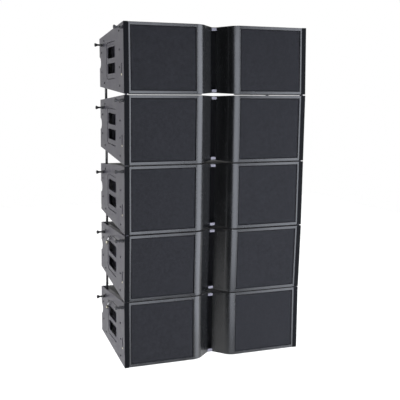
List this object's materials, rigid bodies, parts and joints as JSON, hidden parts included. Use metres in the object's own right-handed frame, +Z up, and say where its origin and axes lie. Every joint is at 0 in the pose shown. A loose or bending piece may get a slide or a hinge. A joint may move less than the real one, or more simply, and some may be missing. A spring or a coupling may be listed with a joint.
{
  "type": "line array speaker",
  "caption": "Flown line array of wedge-shaped two-way cabinets with a central horn recess, pinned together by front hinge pins and slotted rear links that let each junction close up.",
  "frame": {"origin": "on the axis of the top cabinet's front hinge pins, midway across the width, where the array hangs from its fly frame", "axes": "+X to the right seen from the audience, +Y to the rear, +Z up"},
  "size_m": [1.09, 0.6073, 1.7746],
  "materials": {
    "cabinet": "fine textured black paint on plywood",
    "horn": "glossy black moulding",
    "grille": "charcoal powder coat on fine perforated steel",
    "side_frame": "satin grey-purple powder coat, worn at the edges",
    "pin": "dark blackened steel",
    "rear_link": "black powder coat",
    "lanyard": "black plastic-coated wire rope",
    "driver_frame": "black pressed steel",
    "driver_cone": "black treated paper",
    "rubber": "black rubber",
    "zinc": "yellow-passivated zinc",
    "aluminium": "satin cast aluminium",
    "plastic": "black moulded plastic",
    "wool": "off-white polyester wool"
  },
  "bodies": {
    "cabinet_1": {"cabinet_1": "cabinet", "horn_1": "horn", "grille_left_1": "grille", "grille_right_1": "grille", "side_frame_left_1": "side_frame", "side_frame_right_1": "side_frame"},
    "front_pin_left_1": {"front_pin_left_1": "pin"},
    "rear_pin_left_1": {"rear_pin_left_1": "pin"},
    "rear_link_left_1": {"rear_link_left_1": "rear_link"},
    "front_pin_right_1": {"front_pin_right_1": "pin"},
    "rear_pin_right_1": {"rear_pin_right_1": "pin"},
    "rear_link_right_1": {"rear_link_right_1": "rear_link"},
    "cabinet_2": {"cabinet_2": "cabinet", "horn_2": "horn", "grille_left_2": "grille", "grille_right_2": "grille", "side_frame_left_2": "side_frame", "side_frame_right_2": "side_frame"},
    "front_pin_left_2": {"front_pin_left_2": "pin"},
    "rear_pin_left_2": {"rear_pin_left_2": "pin"},
    "rear_link_left_2": {"rear_link_left_2": "rear_link"},
    "front_pin_right_2": {"front_pin_right_2": "pin"},
    "rear_pin_right_2": {"rear_pin_right_2": "pin"},
    "rear_link_right_2": {"rear_link_right_2": "rear_link"},
    "cabinet_3": {"cabinet_3": "cabinet", "horn_3": "horn", "grille_left_3": "grille", "grille_right_3": "grille", "side_frame_left_3": "side_frame", "side_frame_right_3": "side_frame"},
    "front_pin_left_3": {"front_pin_left_3": "pin"},
    "rear_pin_left_3": {"rear_pin_left_3": "pin"},
    "rear_link_left_3": {"rear_link_left_3": "rear_link"},
    "front_pin_right_3": {"front_pin_right_3": "pin"},
    "rear_pin_right_3": {"rear_pin_right_3": "pin"},
    "rear_link_right_3": {"rear_link_right_3": "rear_link"},
    "cabinet_4": {"cabinet_4": "cabinet", "horn_4": "horn", "grille_left_4": "grille", "grille_right_4": "grille", "side_frame_left_4": "side_frame", "side_frame_right_4": "side_frame", "lanyard_4": "lanyard"},
    "front_pin_left_4": {"front_pin_left_4": "pin"},
    "rear_pin_left_4": {"rear_pin_left_4": "pin"},
    "rear_link_left_4": {"rear_link_left_4": "rear_link"},
    "front_pin_right_4": {"front_pin_right_4": "pin"},
    "rear_pin_right_4": {"rear_pin_right_4": "pin"},
    "rear_link_right_4": {"rear_link_right_4": "rear_link"},
    "cabinet_5": {"cabinet_5": "cabinet", "horn_5": "horn", "grille_left_5": "grille", "grille_right_5": "grille", "side_frame_left_5": "side_frame", "side_frame_right_5": "side_frame", "lanyard_5": "lanyard"},
    "front_pin_left_5": {"front_pin_left_5": "pin"},
    "rear_pin_left_5": {"rear_pin_left_5": "pin"},
    "front_pin_right_5": {"front_pin_right_5": "pin"},
    "rear_pin_right_5": {"rear_pin_right_5": "pin"}
  },
  "joints": [
    {"name": "splay_2", "type": "hinge", "parent": "cabinet_1", "child": "cabinet_2", "pos_m": [0, 0, -0.356], "axis": [1, 0, 0], "range_deg": [0, 5.5]},
    {"name": "splay_3", "type": "hinge", "parent": "cabinet_2", "child": "cabinet_3", "pos_m": [0, 0.01553, -0.71166], "axis": [1, 0, 0], "range_deg": [0, 8]},
    {"name": "splay_4", "type": "hinge", "parent": "cabinet_3", "child": "cabinet_4", "pos_m": [0, 0.03106, -1.06732], "axis": [1, 0, 0], "range_deg": [0, 6]},
    {"name": "splay_5", "type": "hinge", "parent": "cabinet_4", "child": "cabinet_5", "pos_m": [0, 0.05899, -1.42222], "axis": [1, 0, 0], "range_deg": [0, 11]},
    {"name": "link_swing_left_1", "type": "hinge", "parent": "cabinet_1", "child": "rear_link_left_1", "pos_m": [0, 0.436, -0.235], "axis": [1, 0, 0], "range_deg": [0, 1.88]},
    {"name": "link_swing_right_1", "type": "hinge", "parent": "cabinet_1", "child": "rear_link_right_1", "pos_m": [0, 0.436, -0.235], "axis": [1, 0, 0], "range_deg": [0, 1.88]},
    {"name": "link_swing_left_2", "type": "hinge", "parent": "cabinet_2", "child": "rear_link_left_2", "pos_m": [0, 0.44584, -0.57176], "axis": [1, 0, 0], "range_deg": [0, 2.5]},
    {"name": "link_swing_right_2", "type": "hinge", "parent": "cabinet_2", "child": "rear_link_right_2", "pos_m": [0, 0.44584, -0.57176], "axis": [1, 0, 0], "range_deg": [0, 2.5]},
    {"name": "link_swing_left_3", "type": "hinge", "parent": "cabinet_3", "child": "rear_link_left_3", "pos_m": [0, 0.46136, -0.92742], "axis": [1, 0, 0], "range_deg": [0, 2]},
    {"name": "link_swing_right_3", "type": "hinge", "parent": "cabinet_3", "child": "rear_link_right_3", "pos_m": [0, 0.46136, -0.92742], "axis": [1, 0, 0], "range_deg": [0, 2]},
    {"name": "link_swing_left_4", "type": "hinge", "parent": "cabinet_4", "child": "rear_link_left_4", "pos_m": [0, 0.48415, -1.26739], "axis": [1, 0, 0], "range_deg": [0, 3.25]},
    {"name": "link_swing_right_4", "type": "hinge", "parent": "cabinet_4", "child": "rear_link_right_4", "pos_m": [0, 0.48415, -1.26739], "axis": [1, 0, 0], "range_deg": [0, 3.25]},
    {"name": "front_pin_pull_left_1", "type": "slide", "parent": "cabinet_1", "child": "front_pin_left_1", "axis": [-1, 0, 0], "range_m": [0, 0.03]},
    {"name": "rear_pin_pull_left_1", "type": "slide", "parent": "cabinet_1", "child": "rear_pin_left_1", "axis": [-1, 0, 0], "range_m": [0, 0.03]},
    {"name": "front_pin_pull_right_1", "type": "slide", "parent": "cabinet_1", "child": "front_pin_right_1", "axis": [1, 0, 0], "range_m": [0, 0.03]},
    {"name": "rear_pin_pull_right_1", "type": "slide", "parent": "cabinet_1", "child": "rear_pin_right_1", "axis": [1, 0, 0], "range_m": [0, 0.03]},
    {"name": "front_pin_pull_left_2", "type": "slide", "parent": "cabinet_2", "child": "front_pin_left_2", "axis": [-1, 0, 0], "range_m": [0, 0.03]},
    {"name": "rear_pin_pull_left_2", "type": "slide", "parent": "cabinet_2", "child": "rear_pin_left_2", "axis": [-1, 0, 0], "range_m": [0, 0.03]},
    {"name": "front_pin_pull_right_2", "type": "slide", "parent": "cabinet_2", "child": "front_pin_right_2", "axis": [1, 0, 0], "range_m": [0, 0.03]},
    {"name": "rear_pin_pull_right_2", "type": "slide", "parent": "cabinet_2", "child": "rear_pin_right_2", "axis": [1, 0, 0], "range_m": [0, 0.03]},
    {"name": "front_pin_pull_left_3", "type": "slide", "parent": "cabinet_3", "child": "front_pin_left_3", "axis": [-1, 0, 0], "range_m": [0, 0.03]},
    {"name": "rear_pin_pull_left_3", "type": "slide", "parent": "cabinet_3", "child": "rear_pin_left_3", "axis": [-1, 0, 0], "range_m": [0, 0.03]},
    {"name": "front_pin_pull_right_3", "type": "slide", "parent": "cabinet_3", "child": "front_pin_right_3", "axis": [1, 0, 0], "range_m": [0, 0.03]},
    {"name": "rear_pin_pull_right_3", "type": "slide", "parent": "cabinet_3", "child": "rear_pin_right_3", "axis": [1, 0, 0], "range_m": [0, 0.03]},
    {"name": "front_pin_pull_left_4", "type": "slide", "parent": "cabinet_4", "child": "front_pin_left_4", "axis": [-1, 0, 0], "range_m": [0, 0.03], "deforming": ["lanyard_4"]},
    {"name": "rear_pin_pull_left_4", "type": "slide", "parent": "cabinet_4", "child": "rear_pin_left_4", "axis": [-1, 0, 0], "range_m": [0, 0.03]},
    {"name": "front_pin_pull_right_4", "type": "slide", "parent": "cabinet_4", "child": "front_pin_right_4", "axis": [1, 0, 0], "range_m": [0, 0.03]},
    {"name": "rear_pin_pull_right_4", "type": "slide", "parent": "cabinet_4", "child": "rear_pin_right_4", "axis": [1, 0, 0], "range_m": [0, 0.03]},
    {"name": "front_pin_pull_left_5", "type": "slide", "parent": "cabinet_5", "child": "front_pin_left_5", "axis": [-1, 0, 0], "range_m": [0, 0.03], "deforming": ["lanyard_5"]},
    {"name": "rear_pin_pull_left_5", "type": "slide", "parent": "cabinet_5", "child": "rear_pin_left_5", "axis": [-1, 0, 0], "range_m": [0, 0.03]},
    {"name": "front_pin_pull_right_5", "type": "slide", "parent": "cabinet_5", "child": "front_pin_right_5", "axis": [1, 0, 0], "range_m": [0, 0.03]},
    {"name": "rear_pin_pull_right_5", "type": "slide", "parent": "cabinet_5", "child": "rear_pin_right_5", "axis": [1, 0, 0], "range_m": [0, 0.03]}
  ],
  "couplings": [
    {"joint": "link_swing_left_1", "follows": "splay_2", "ratio": 0.25},
    {"joint": "link_swing_right_1", "follows": "splay_2", "ratio": 0.25},
    {"joint": "link_swing_left_2", "follows": "splay_3", "ratio": 0.25},
    {"joint": "link_swing_right_2", "follows": "splay_3", "ratio": 0.25},
    {"joint": "link_swing_left_3", "follows": "splay_4", "ratio": 0.25},
    {"joint": "link_swing_right_3", "follows": "splay_4", "ratio": 0.25},
    {"joint": "link_swing_left_4", "follows": "splay_5", "ratio": 0.25},
    {"joint": "link_swing_right_4", "follows": "splay_5", "ratio": 0.25}
  ]
}
